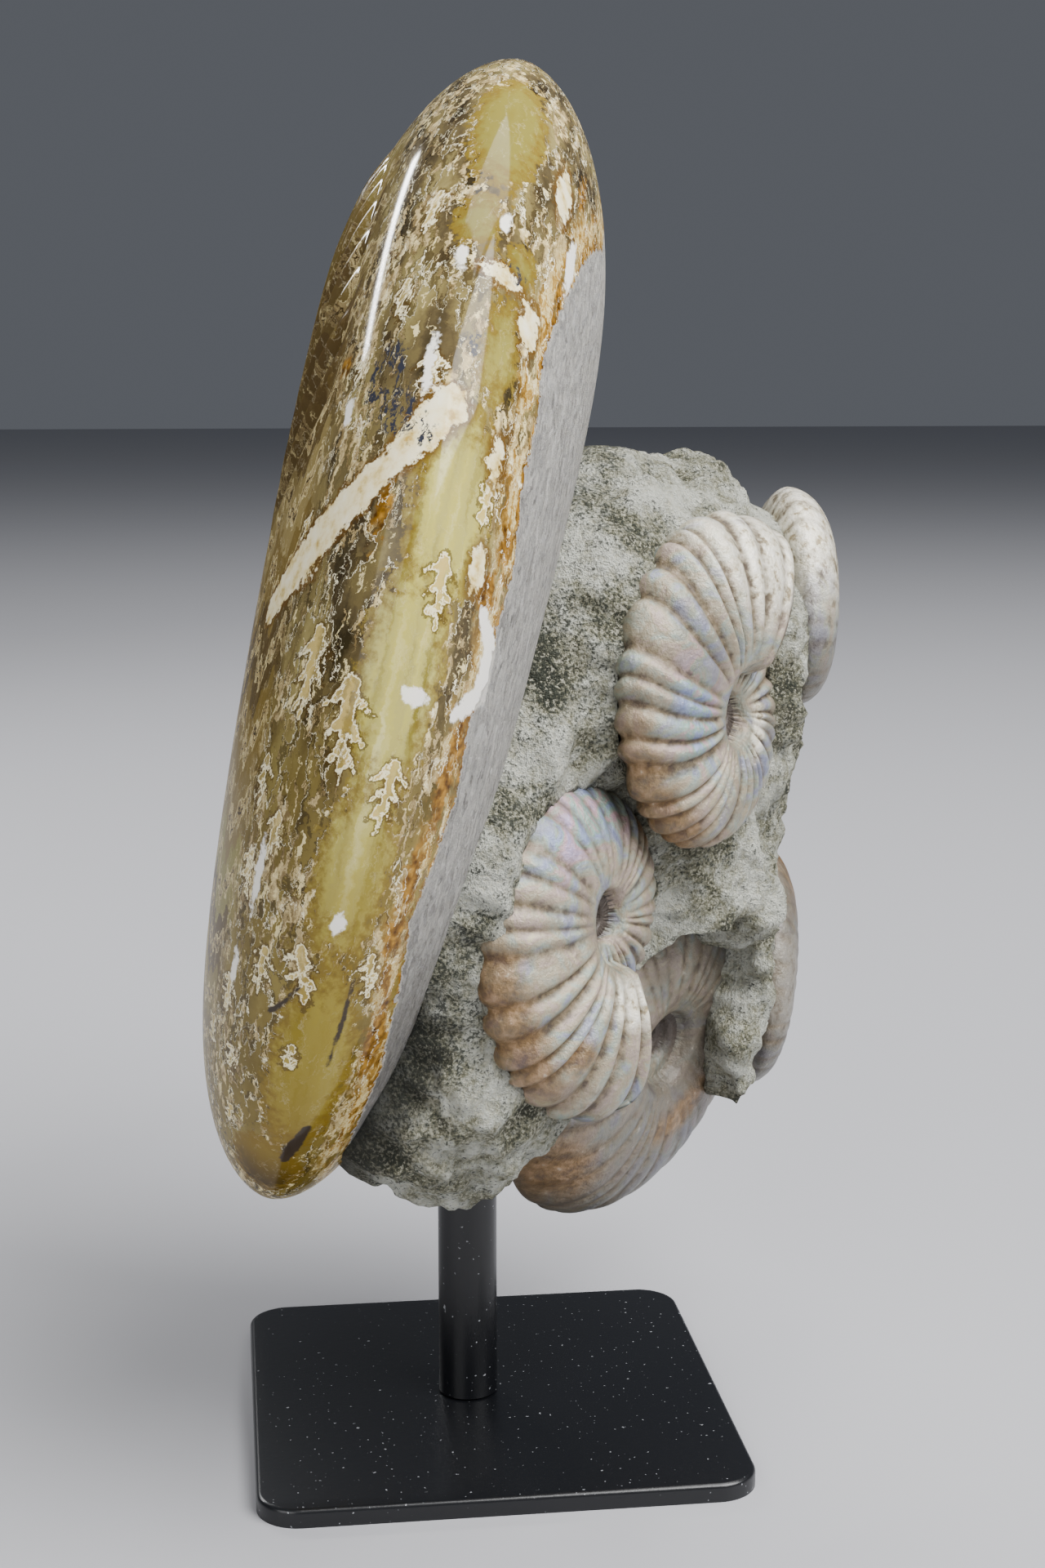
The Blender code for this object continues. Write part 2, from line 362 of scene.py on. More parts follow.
def rib_waves(shell, turned, across, height):
    """The ribs at each place, from 0 in a groove to 1 along a crest, and how strong they are."""
    if shell.polished:
        wave = 0.5 + 0.5 * np.cos(2 * math.pi * turned / 360 * shell.ribs)
        outer = unit((RIB_BAND[1] - across) / BAND_FADES[1])
        inner = unit((across - RIB_BAND[0]) / BAND_FADES[0])
        return wave, (height > 0) * outer * inner * unit((turned - LAST_RIB) / RIB_FADE)
    phase = (turned - shell.bow * (across - 0.45) ** 2) / 360 * shell.ribs
    # Spacing and strength wander from rib to rib
    phase = phase + 0.22 * np.sin(phase * 1.3) + 0.12 * np.sin(phase * 2.9 + 1)
    wave = np.sqrt(np.sin(math.pi * phase) ** 2 + 0.06)
    strength = unit((across - SHOULDER) / RIB_START_WIDTH) * (0.85 + 0.15 * np.sin(phase * 0.9))
    return wave, strength * (1 - 0.8 * area_field(shell, "smooth", turned, across))


def area_field(shell, kind, turned, across):
    """1 in the middle of the shell's areas of one kind, falling to 0 at their edges."""
    field = np.zeros(np.broadcast_shapes(turned.shape, across.shape))
    for name, middle, place, reach, reach_across in shell.areas:
        if name == kind:
            away = np.hypot((turned - middle) / reach, (across - place) / reach_across)
            field = np.maximum(field, unit(1 - away))
    return field


def enter(mode):
    bpy.ops.object.mode_set(mode=mode)


def deselect_all():
    bpy.ops.object.select_all(action="DESELECT")


def shell_grid(shell):
    """Every point of the shell by growth step and place across the whorl, and the values that its finish reads.

    The values along and aside are distances in metres: along the venter from the shell's centre, and off the venter.
    """
    across, height, normal = section_rows(shell)
    last_row = len(across) - 1
    seam = shell.seam_rows
    per_turn = shell.ribs * shell.steps_per_rib
    steps = round(per_turn * shell.turns)
    whole, part = np.divmod(np.arange(steps + 1) / per_turn, 1)
    whole, part = whole[:, None], part[:, None]
    if shell.polished:
        part = np.interp(part, *FINE_STEPS)
    turned = (whole + part - shell.turns) * 360
    radius, angle = spiral_place(shell, across, turned)
    wave, strength = rib_waves(shell, turned, across, height)
    rib = shell.rib_height * (wave - PLAIN_RIB) * strength
    out = across + rib * normal[:, 0]
    tall = height + rib * normal[:, 1]
    points = np.stack([out * np.cos(angle), out * np.sin(angle), tall], axis=2) * radius[:, :, None]

    # Each whorl starts on the surface of the whorl inside it, and the innermost one is drawn to a point
    points[per_turn:, 0] = points[:-per_turn, seam]
    points[per_turn:, last_row] = points[:-per_turn, last_row - seam]
    points[0] = 0

    # The mouth is closed by a hollow lid, from its rim down to just inside the whorl under it
    inner_rows = seam + (last_row - 2 * seam) * np.arange(last_row + 1) / last_row
    low = np.floor(inner_rows).astype(int)
    part = (inner_rows - low)[:, None]
    inner = points[steps - per_turn]
    inner = inner[low] * (1 - part) + inner[np.minimum(low + 1, last_row)] * part
    lid = []
    for number in range(1, LID_STEPS + 1):
        share = (number / LID_STEPS) ** 1.5
        back = -shell.turn * LID_DEPTH * math.sin(math.pi * share) ** 0.6
        turn = np.array([[math.cos(back), math.sin(back), 0], [-math.sin(back), math.cos(back), 0], [0, 0, 1]])
        lid.append((points[steps] * (1 - share) + inner * LID_END * share) @ turn)
    points = np.concatenate([points, lid])

    bend = math.log(shell.expansion) / (2 * math.pi)
    lengths = np.concatenate([[0], np.cumsum(np.hypot(np.diff(across), np.diff(height)))])
    growth = radius * math.sqrt(1 + bend * bend) / bend
    aside = (lengths[seam + shell.flank_rows] - lengths) * radius
    if shell.polished:
        values = {"along": growth, "aside": aside, **shell_marks(growth / MM, aside / MM)}
    else:
        kinds = {kind: area_field(shell, kind, turned, across) for kind in ("cream", "rust", "blue", "painted_shade")}
        kinds["pit"] = unit((PITS[0] - turned) / PITS[1]) + 0 * across
        values = {"along": growth, "aside": aside, "crest": PLAIN_CREST + (wave - PLAIN_CREST) * strength, **kinds}
    values = {name: np.concatenate([value, np.repeat(value[-1:], LID_STEPS, axis=0)]) for name, value in values.items()}
    values["along"][-LID_STEPS:] += LID_LENGTH / LID_STEPS * np.arange(1, LID_STEPS + 1)[:, None]
    if shell.polished:
        # The lid is all grey layer, some millimetres deep
        values["worn"][-LID_STEPS:] = 5
    middle = np.array(standing(shell))
    return points @ middle[:3, :3].T + middle[:3, 3], values


def shell_object(shell, finish):
    """The shell as a fine grid, wound up in its place and rid of what the next whorl covers."""
    points, values = shell_grid(shell)
    columns, last_row = points.shape[0] - 1, points.shape[1] - 1
    deselect_all()
    bpy.ops.mesh.primitive_grid_add(x_subdivisions=columns, y_subdivisions=last_row, size=1)
    made = bpy.context.object
    made.name = shell.name + "_fine"
    mesh = made.data
    flat = np.empty(len(mesh.vertices) * 3)
    mesh.vertices.foreach_get("co", flat)
    flat = flat.reshape(-1, 3)
    column = np.rint((flat[:, 0] + 0.5) * columns).astype(int)
    row = np.rint((flat[:, 1] + 0.5) * last_row).astype(int)
    mesh.vertices.foreach_set("co", points[column, row].ravel())
    corner = np.empty(len(mesh.loops), int)
    mesh.loops.foreach_get("vertex_index", corner)
    pattern = mesh.uv_layers[0]
    pattern.name = "growth"
    places = np.stack([values.pop("along")[column, row], values.pop("aside")[column, row]], axis=1)[corner]
    pattern.uv.foreach_set("vector", places.astype(np.float32).ravel())

    for name, value in values.items():
        mark = mesh.attributes.new(name, "FLOAT", "POINT")
        mark.data.foreach_set("value", value[column, row].astype(np.float32))

    per_turn = shell.ribs * shell.steps_per_rib
    last_covered = columns - LID_STEPS - per_turn - LID_OVERLAP
    covered = covered_faces(mesh, column[corner], row[corner], last_covered, shell.seam_rows, last_row)
    enter("EDIT")
    bpy.ops.mesh.select_mode(type="FACE")
    bpy.ops.mesh.select_all(action="DESELECT")
    enter("OBJECT")
    mesh.polygons.foreach_set("select", covered)
    enter("EDIT")
    bpy.ops.mesh.delete(type="FACE")
    bpy.ops.mesh.select_all(action="SELECT")
    bpy.ops.mesh.remove_doubles(threshold=WELD)
    bpy.ops.mesh.normals_make_consistent(inside=False)
    enter("OBJECT")
    bpy.ops.object.shade_smooth()
    mesh.materials.append(finish)
    return made


def covered_faces(mesh, column, row, last_covered, seam, last_row):
    """Which faces lie under the next whorl, from the grid place of every face corner."""
    start = np.empty(len(mesh.polygons), int)
    mesh.polygons.foreach_get("loop_start", start)
    corners = start[:, None] + np.arange(4)
    first_column = column[corners].min(axis=1)
    first_row = row[corners].min(axis=1)
    return (first_column < last_covered) & (first_row >= seam) & (first_row < last_row - seam)


# Markings of the large shell, in mm along its venter and aside from it, positive to the left. Patches are
# (middle along, middle aside, half length, half width) and lines are rows of (along, aside, half width).
FAR_OUTSIDE = -10.0
# Clear calcite windows
WINDOWS = (
    (930, -0.5, 18, 6), (905.5, 1, 6, 3.5), (901, -6.5, 4, 3), (886, -6, 9, 3.5), (862, -4.2, 14, 6.5),
    (839, -2, 18, 6), (813, -1.5, 14, 5.5), (780, -1.5, 20, 6.5), (750, 2, 11, 6),
)
# Cream shell left on the surface
CREAM_PATCHES = (
    (897, -4, 2.2, 4), (893, -10, 5, 2.6), (925, -12, 8, 2.6), (852, 21, 2.4, 6), (871, -9, 4, 2),
    (856, -10, 4, 2.4),
)
CREAM_BAND = ((848, 29, 2.6), (857, 17, 3.4), (863.6, 8.6, 2.6), (866, 6, 1.8), (870, 2.6, 2.8), (875, -0.4, 2.6))
# White nacre: a crescent and loose flakes
WHITE_CRESCENT = ((851, -13.2, 1), (847, -17.2, 1.9), (840.5, -17.4, 2.1), (836.2, -12.2, 1))
WHITE_FLAKES = (
    (898, 2.2, 2, 0.9), (906.3, -2.6, 1.8, 0.8), (914, -17, 6, 1.4), (881, 3.3, 4.5, 0.7), (876.9, 16.3, 2.4, 0.9),
    (837.3, -4.4, 1.2, 2), (805.4, -1, 1.6, 1), (788.2, 15.7, 4, 0.9), (807.3, 14, 6, 0.9),
)
# Spots of iron stain
RUST_PATCHES = (
    (853.6, -12.9, 3.2, 2.4), (861.5, -15.2, 3, 1.8), (833, -14.3, 4, 1.6), (826, -13.2, 6, 1.6), (812, -11, 5, 1.6),
    (803, -10, 4, 1.6), (782, -11.5, 9, 2), (935, -17, 6, 1.2), (905, -15.5, 5, 1), (887, 20, 2, 1.4),
    (861, 5.5, 4, 1),
)
# Specks of pyrite and open cracks
DARK_FLECKS = ((880, 9.8, 6, 3), (874, 6.5, 4, 2.6), (870.4, 2.4, 2, 1.6), (899, -5.5, 1.4, 2), (885, -1.5, 2, 1.4))
CRACKS = (
    ((797, -4.9, 0.25), (789, -4.6, 0.4), (781, -3.9, 0.2)),
    ((795, 2, 0.2), (791, 4, 0.35), (788, 6, 0.4)),
    ((766, -3, 0.8), (760, -1.4, 1.2), (756, -0.8, 0.6)),
    ((905, -19, 0.4), (897, -16, 0.5), (893, -15.6, 0.4)),
)
# Leaf tips of the suture lines: distance along and aside of the stem, length and lean
LEAVES = (
    (855, -4.2, 9, -0.8), (843, 11.4, 13, 0.8), (828, -3.6, 9, 0.4), (800, 3, 9, -2), (837, 4.2, 13, -1.2),
    (797, 9, 8, 0), (862, 21, 8, 1), (817, 12, 8, 1), (809, 17, 9, 0), (786, 16, 9, 1), (774, 12, 7, 0),
    (824, 18, 9, 1), (771, 20, 9, 0), (760, 10, 6, 0), (896, 10, 7, 0), (886, 15.5, 6, 0), (882, 3, 8, -1),
    (913, 8, 8, 1), (906, 16, 8, 0), (895, -10, 8, 0), (868, -9, 7, 0), (800, -7, 7, -1), (784, 1.5, 5, 0.5),
)
# Where the polish ends at the grey layer beside the stone: distance along, distance aside
WORN_BORDER = (
    (560, -16), (700, -13), (754, -12.5), (773, -15.5), (793, -14.5), (805, -13.2), (816, -16), (826, -17.5),
    (836, -16), (843, -19), (851, -18), (860, -19), (870, -16.2), (882, -16.4), (892, -14.5), (905, -17), (925, -22),
    (950, -30), (1062, -30),
)


def patch_field(patches, along, aside):
    """Depth in mm inside the nearest of some oval patches, negative outside them."""
    field = np.full(along.shape, FAR_OUTSIDE)
    for middle, side, half_length, half_width in patches:
        away = np.hypot((along - middle) / half_length, (aside - side) / half_width)
        field = np.maximum(field, (1 - away) * min(half_length, half_width))
    return field


def line_field(lines, along, aside):
    """Depth in mm inside the nearest of some lines of changing width, negative outside them."""
    field = np.full(along.shape, FAR_OUTSIDE)
    for start, end in ((start, end) for line in lines for start, end in zip(line, line[1:])):
        step = np.array(end[:2]) - start[:2]
        part = unit(((along - start[0]) * step[0] + (aside - start[1]) * step[1]) / (step @ step))
        away = np.hypot(along - start[0] - part * step[0], aside - start[1] - part * step[1])
        field = np.maximum(field, start[2] + part * (end[2] - start[2]) - away)
    return field


def leaf_lines(along, aside, length, lean):
    """A leaf of a suture line: a stem that tapers towards smaller distances, with three pairs of lobes."""
    yield (along, aside, 0.1 * length), (along - length, aside + lean, 0.15)
    for share, spread in ((0.05, 0.28), (0.35, 0.23), (0.62, 0.16)):
        stem = (along - share * length, aside + share * lean, 0.07 * length)
        for side in (-1, 1):
            yield stem, (stem[0] - 0.2 * length, stem[1] + side * spread * length, 0.15)


def shell_marks(along, aside):
    """How many mm deep inside each kind of marking every point of the large shell lies."""
    leaves = [line for leaf in LEAVES for line in leaf_lines(*leaf)]
    cream = patch_field(CREAM_PATCHES, along, aside) - 0.6
    return {
        "clear": patch_field(WINDOWS, along, aside),
        "cream": np.maximum(cream, line_field([CREAM_BAND], along, aside)),
        "white": np.maximum(patch_field(WHITE_FLAKES, along, aside), line_field([WHITE_CRESCENT], along, aside)),
        "rust": patch_field(RUST_PATCHES, along, aside),
        "fleck": patch_field(DARK_FLECKS, along, aside),
        "leaf": line_field(leaves, along, aside),
        "crack": line_field(CRACKS, along, aside),
        "worn": np.interp(along, *np.array(WORN_BORDER).T) - aside,
    }


def layered(finish, colour, layers):
    """A colour with others laid over it. Each layer is the parts of its mask's product, and then its colour."""
    for *parts, over in layers:
        over = over if isinstance(over, bpy.types.NodeSocket) else rgba(over)
        colour = add(finish, "Mix", {0: product(finish, *parts), 6: colour, 7: over}, output=2, data_type="RGBA")
    return colour


def noise_of(finish, place, scale, detail, **inputs):
    """Noise whose size along each axis is one over the scale."""
    place = add(finish, "Mapping", {"Vector": place, "Scale": scale})
    named = {name.capitalize(): value for name, value in inputs.items()}
    return add(finish, "TexNoise", {"Vector": place, "Scale": 1.0, "Detail": detail, **named})


def product(finish, *parts):
    """The product of numbers, outputs and smooth steps. A step is (output, start, end), or ends with low and high."""
    total = None
    for part in parts:
        if isinstance(part, tuple):
            names = ("Value", "From Min", "From Max", "To Min", "To Max")
            part = add(finish, "MapRange", dict(zip(names, (*part, 0.0, 1.0))), interpolation_type="SMOOTHSTEP")
        if total is not None:
            part = add(finish, "Math", {0: total, 1: part}, operation="MULTIPLY")
        total = part
    return total


def weighted_sum(finish, total, *others):
    """A value plus others, each times its weight."""
    for value, weight in others:
        total = add(finish, "Math", {0: value, 1: weight, 2: total}, operation="MULTIPLY_ADD")
    return total


def line_at(finish, value, level, width, *parts):
    """A line where a value is within a width of a level, times other parts."""
    line = add(finish, "Math", {0: value, 1: level, 2: width}, operation="COMPARE")
    return product(finish, line, *parts)


def calcite_finish(tones):
    """Polished calcite and shell: honey calcite that light enters, under a glassy polish, with cream shell on it."""
    finish = new_material("polished calcite and shell")
    spot = add(finish, "UVMap", uv_map="growth")
    mm = add(finish, "VectorMath", {0: spot, 3: 1000.0}, operation="SCALE")
    along = add(finish, "SeparateXYZ", {0: mm})
    aside = add(finish, "SeparateXYZ", {0: mm}, output=1)
    # Ragged edges: every marking is pushed about by a noise of 2 mm and less
    ragged = add(finish, "TexNoise", {"Vector": mm, "Scale": 0.55, "Detail": 6.0, "Roughness": 0.66}, output="Color")
    ragged = add(finish, "VectorMath", {0: ragged, 1: (0.5, 0.5, 0.5)}, operation="SUBTRACT")
    ragged_mm = add(finish, "VectorMath", {0: ragged, 1: (7.0, 3.0, 0.0), 2: mm}, operation="MULTIPLY_ADD")
    push = add(finish, "SeparateXYZ", {0: ragged})

    def depth(name, push_by):
        value = add(finish, "Attribute", attribute_name=name, output="Fac")
        return weighted_sum(finish, value, (push, push_by))

    def inside(value, edge):
        return product(finish, (value, -edge, edge))

    # Brown calcite seen deep through the polish, in clouds of 6 to 17 mm
    deep = noise_of(finish, ragged_mm, (0.06, 0.17, 1), 5.0)
    stops = ((0.34, "#2a2417"), (0.45, tones.brown), (0.55, "#73663f"), (0.68, "#978a58"))
    deep = add(finish, "ValToRGB", {0: deep}, stops=stops)
    deep = layered(finish, deep, [((along, 850, 800, 0, 0.6), "#7d6a26")])
    # Torn flakes of shell, 1 to 5 mm long, in clusters of 10 to 20 mm and drawn out along the whorl
    clusters = noise_of(finish, mm, (0.05, 0.09, 1), 3.0)
    scarce = product(finish, (clusters, 0.42, 0.6, 0.075, -0.02))
    flakes = noise_of(finish, ragged_mm, (0.2, 0.52, 1), 8.0, roughness=0.62, distortion=1.2)
    flecks = noise_of(finish, ragged_mm, (0.33, 0.85, 1), 7.0, roughness=0.6, distortion=0.8)
    gold = add(finish, "ValToRGB", {0: flecks}, stops=((0.4, "#776440"), (0.52, tones.gold), (0.6, "#d8c288")))
    contours = noise_of(finish, ragged_mm, (0.1, 0.26, 1), 3.0, roughness=0.55, distortion=0.5)
    sparse = weighted_sum(finish, flakes, (scarce, -1.0))
    pale_sparse = weighted_sum(finish, flecks, (scarce, -1.0))
    # The flank's chambers, 14 mm long, with a lobed and frilled suture line between each two
    flank = product(finish, (aside, 17, 24))
    ribbed = product(finish, (aside, 25, 31), (along, 862, 880))
    lobes = add(finish, "Math", {0: product(finish, aside, 0.5)}, operation="SINE")
    frills = add(finish, "Math", {0: product(finish, aside, 1.9)}, operation="SINE")
    frills = weighted_sum(finish, lobes, (frills, 0.35))
    chambers = weighted_sum(finish, product(finish, along, 1 / 14), (frills, 0.26), (push, 0.6))
    seam = add(finish, "Math", {0: chambers, 1: 0.5}, operation="PINGPONG")
    number = add(finish, "Math", {0: chambers}, operation="ROUND")
    number = add(finish, "TexWhiteNoise", {"W": number}, noise_dimensions="1D")
    stops = ((0.0, "#473820"), (0.3, "#75612f"), (0.55, "#888045"), (0.8, "#63512c"), (1.0, "#998753"))
    chamber = add(finish, "ValToRGB", {0: number}, stops=stops)
    # Clear windows: growth bands 2 mm wide along the whorl, deeper in tone at their edges and amber towards the foot,
    # with painted shade near black at the very foot
    clear_depth = depth("clear", 9.0)
    bands = noise_of(finish, ragged_mm, (0.025, 0.45, 1), 4.0)
    stops = ((0.32, "#7d7223"), (0.46, tones.window), (0.58, "#b9b05c"), (0.7, "#cfc98a"))
    clear = layered(
        finish,
        add(finish, "ValToRGB", {0: bands}, stops=stops),
        [
            ((along, 840, 785, 0, 0.8), "#8a761f"),
            ((along, 785, 745, 0, 0.85), tones.amber),
            ((along, 860, 900, 0, 0.9), "#746b2c"),
            # Painted shade at the very foot, near black
            ((along, 765, 738, 0, 0.95), "#2b1e0a"),
            ((clear_depth, 2.8, 0, 0, 0.8), "#6f5718"),
        ],
    )
    # Tan and cream mosaic along the edge of the polish
    worn_depth = depth("worn", 4.0)
    stops = (
        *((0.36, "#5f4014"), (0.45, "#8f6a2a"), (0.5, "#b5934c")),
        *((0.55, tones.cream), (0.62, "#9f7c38"), (0.7, "#eadbb4")),
    )
    mosaic = add(finish, "ValToRGB", {0: flakes}, stops=stops)
    edge = product(finish, (worn_depth, -7.5, -3.5), (contours, 0.4, 0.5))
    # Cream shell and iron stain, mottled in spots of 2 to 3 mm
    cream = noise_of(finish, mm, (0.35, 0.35, 1), 6.0, roughness=0.6)
    stops = ((0.32, "#b8984f"), (0.41, "#e0cc90"), (0.5, "#efe2b4"), (0.7, "#f8f1d4"))
    cream = add(finish, "ValToRGB", {0: cream}, stops=stops)
    rust = noise_of(finish, mm, (0.6, 0.6, 1), 5.0)
    rust = add(finish, "ValToRGB", {0: rust}, stops=((0.35, "#452a0a"), (0.5, tones.rust), (0.65, "#a97c2c")))
    # Grey layer beside the stone, wrinkled along the whorl every 1 to 5 mm and darker towards the foot
    wrinkles = noise_of(finish, ragged_mm, (0.22, 0.7, 1), 8.0, roughness=0.7, distortion=1.6)
    stops = ((0.32, "#76736f"), (0.44, "#a5a29d"), (0.56, tones.worn), (0.7, "#e2e0dc"))
    grey = add(finish, "ValToRGB", {0: wrinkles}, stops=stops)
    grey = layered(finish, grey, [((along, 815, 775, 0, 0.55), "#504d4a")])
    worn = inside(worn_depth, 0.2)
    leaf_depth = depth("leaf", 3.0)
    cream_depth = depth("cream", 5.0)
    off_cream = add(finish, "Math", {0: cream_depth}, operation="ABSOLUTE")
    clear_mask = inside(clear_depth, 0.45)
    shell_free = (clear_mask, 0.2, 1, 1, 0.12)
    colour = layered(
        finish,
        deep,
        [
            (line_at(finish, contours, 0.52, 0.03, 0.6), "#2b2013"),
            ((sparse, 0.52, 0.54), gold),
            (line_at(finish, sparse, 0.518, 0.008), "#2f2415"),
            ((pale_sparse, 0.6, 0.615), tones.cream),
            (flank, 0.92, chamber),
            (flank, (seam, 0.12, 0.1), 0.7, gold),
            (line_at(finish, seam, 0.13, 0.012, flank), tones.cream),
            (line_at(finish, seam, 0.0, 0.02, flank), "#2a1d0c"),
            (ribbed, 0.75, "#4a3d28"),
            (clear_mask, clear),
            ((flecks, 0.62, 0.635), shell_free, (flank, 0, 1, 1, 0.35), tones.cream),
            (edge, mosaic),
            (inside(depth("rust", 6.0), 0.7), rust),
            ((worn_depth, -1.6, -0.5), (flecks, 0.44, 0.54), rust),
            (inside(leaf_depth, 0.1), (bands, 0.4, 0.6, 0.3, 0.85), "#cdb46c"),
            (line_at(finish, leaf_depth, 0.1, 0.12), "#f1e7c0"),
            (line_at(finish, leaf_depth, -0.22, 0.14, 0.7), "#4a3718"),
            (line_at(finish, contours, 0.5, 0.0045, shell_free, (flank, 0, 1, 1, 0.2)), "#efe6c4"),
            ((off_cream, 1.3, 0.2, 0, 0.8), "#5c3f16"),
            (inside(cream_depth, 0.2), cream),
            (inside(depth("fleck", 6.0), 0.4), (flecks, 0.5, 0.53), "#30323c"),
            (inside(depth("crack", 1.5), 0.2), "#3a3128"),
            (worn, grey),
            (line_at(finish, worn_depth, 0.1, 0.22), "#d6d1c8"),
            (inside(depth("white", 3.0), 0.25), tones.white),
        ],
    )
    step_down = add(finish, "Bump", {"Height": worn, "Distance": -0.0004})
    relief = {"Height": wrinkles, "Strength": 0.9, "Distance": 0.0015, "Normal": step_down}
    relief = add(finish, "Bump", relief)
    normal = add(finish, "Mix", {0: worn, 4: step_down, 5: relief}, output=1, data_type="VECTOR")
    dull = add(finish, "Math", {0: worn, 1: product(finish, ribbed, 0.8)}, operation="MAXIMUM")
    # The polish is the only surface that reflects: calcite under it has its index, so nothing shows between them
    inputs = {
        "Base Color": colour,
        "Roughness": product(finish, (dull, 0, 1, 0.3, 0.62)),
        "IOR": 1.6,
        "Specular IOR Level": 0.0,
        "Normal": normal,
        "Subsurface Weight": product(finish, (clear_mask, 0, 1, 0.08, 0.6)),
        "Subsurface Radius": (1.0, 0.72, 0.28),
        "Subsurface Scale": 0.003,
        "Coat Weight": product(finish, (dull, 0, 1, 0.36, 0.0)),
        "Coat Roughness": 0.08,
        "Coat IOR": 1.55,
    }
    add(finish, "OutputMaterial", {"Surface": add(finish, "BsdfPrincipled", inputs)})
    return finish


def nacre_finish(tones):
    """Worn mother-of-pearl: greyish tan with pastel colours that drift over the ribs, and tan stain in the grooves."""
    finish = new_material("worn mother-of-pearl")
    place = add(finish, "TexCoord", output="Object")

    def area(name, push_by):
        value = add(finish, "Attribute", attribute_name=name, output="Fac")
        value = weighted_sum(finish, value, (broad, push_by))
        return product(finish, (value, 0.5 * push_by + 0.1, 0.5 * push_by + 0.75))

    # Colours drift every 7 mm, wear and stain every 14 mm, and the surface is pitted at 2 mm and less
    drift = noise_of(finish, place, (150, 150, 150), 5.0, roughness=0.6, distortion=1.0)
    broad = noise_of(finish, place, (70, 70, 70), 6.0, roughness=0.68)
    fine = noise_of(finish, place, (520, 520, 520), 6.0, roughness=0.65)
    stops = (
        *((0.30, "#7c8198"), (0.39, "#9597a4"), (0.45, "#96a092"), (0.50, tones.pearl)),
        *((0.55, "#a3977e"), (0.61, "#a5938a"), (0.70, "#bcb193")),
    )
    pearl = add(finish, "ValToRGB", {0: drift}, stops=stops)
    stops = ((0.34, "#6d7ba6"), (0.44, tones.blue), (0.5, "#87a596"), (0.56, "#b4949a"), (0.66, "#a898b6"))
    blue = add(finish, "ValToRGB", {0: drift}, stops=stops)
    cream = add(finish, "ValToRGB", {0: fine}, stops=((0.38, "#a39373"), (0.48, tones.cream), (0.62, "#f2ede0")))
    rust = add(finish, "ValToRGB", {0: fine}, stops=((0.38, "#5a4026"), (0.5, tones.rust), (0.62, "#957552")))
    stain = add(finish, "ValToRGB", {0: fine}, stops=((0.38, "#43362a"), (0.5, tones.groove), (0.62, "#82715b")))
    crest = add(finish, "Attribute", attribute_name="crest", output="Fac")
    level = weighted_sum(finish, crest, (broad, 0.5), (fine, 0.5))
    groove = product(finish, (level, 1.22, 0.8, 0, 0.95))
    colour = layered(
        finish,
        pearl,
        [
            (area("blue", 0.9), blue),
            ((broad, 0.5, 0.64), 0.6, "#857865"),
            (area("cream", 0.8), cream),
            # Painted shade over the shells at the back and below
            (area("painted_shade", 0.5), 0.8, "#5f5850"),
            (groove, stain),
            (area("rust", 0.9), 0.85, rust),
            (area("pit", 0.4), "#4b423b"),
            ((fine, 0.64, 0.7, 0, 0.4), "#c9c0ae"),
        ],
    )
    inputs = {
        "Base Color": colour,
        "Metallic": product(finish, (groove, 0, 1, 0.25, 0.0)),
        "Roughness": product(finish, (groove, 0, 1, 0.38, 0.75)),
        "Normal": add(finish, "Bump", {"Height": fine, "Strength": 0.9, "Distance": 0.0007}),
        "Coat Weight": 0.15,
        "Coat Roughness": 0.22,
        "Thin Film Thickness": 420.0,
        "Thin Film IOR": 1.5,
    }
    add(finish, "OutputMaterial", {"Surface": add(finish, "BsdfPrincipled", inputs)})
    return finish


def sandstone_finish(tones):
    """Glauconitic sandstone: rough and dull, with pale quartz and dark green grains of about 0.5 mm.

    The dark grains crowd beside the large shell as painted shade of the crevice there. Close to it the stone is painted
    darker still, most towards the bottom, and round the small shells it has olive-brown dirt and painted shade.
    """
    finish = new_material("glauconitic sandstone")
    place = add(finish, "TexCoord", output="Object")
    # Grains of 0.5 mm, lumps of 2.4 mm and patches of 11 mm
    grains = noise_of(finish, place, (1900, 1900, 1900), 3.0, roughness=0.7)
    coarse = noise_of(finish, place, (420, 420, 420), 5.0, roughness=0.7)
    patches = noise_of(finish, place, (90, 90, 90), 6.0, roughness=0.65)
    near = add(finish, "Attribute", attribute_name="beside_large", output="Fac")
    beside = add(finish, "Attribute", attribute_name="beside_small", output="Fac")
    height = add(finish, "SeparateXYZ", {0: place}, output=2)
    tone = weighted_sum(finish, patches, (coarse, 0.7))
    stops = ((0.69, "#4b4b3a"), (0.77, "#87856c"), (0.85, tones.stone), (0.95, "#d9dacd"))
    tone = add(finish, "ValToRGB", {0: tone}, stops=stops)
    # Beside the large shell the dark grains crowd more, as painted shade
    dark = weighted_sum(finish, grains, (near, 0.1), (coarse, 0.5), (patches, -0.5))
    pale = weighted_sum(finish, grains, (coarse, 0.6))
    colour = layered(
        finish,
        tone,
        [
            ((pale, 0.76, 0.66, 0, 0.75), tones.pale),
            ((dark, 0.54, 0.7, 0, 0.9), tones.dark),
            # Olive-brown dirt and painted shade round the small shells
            ((beside, 0.2, 0.9), (coarse, 0.36, 0.56, 0, 0.7), "#6d6650"),
            # Painted shadow close to the large shell, darker towards the bottom
            ((near, 0.66, 0.85), (height, 0.11, 0.075, 0.25, 1.0), "#20241b"),
            ((near, 0.4, 0.75), (height, 0.1, 0.07, 0.0, 0.85), "#2a2c24"),
            ((near, 0.945, 0.965), 0.8, "#b4b3a4"),
        ],
    )
    rough = weighted_sum(finish, grains, (coarse, 2.0))
    relief = add(finish, "Bump", {"Height": rough, "Distance": 0.002})
    shader = add(finish, "BsdfPrincipled", {"Base Color": colour, "Roughness": 0.9, "Normal": relief})
    add(finish, "OutputMaterial", {"Surface": shader})
    return finish


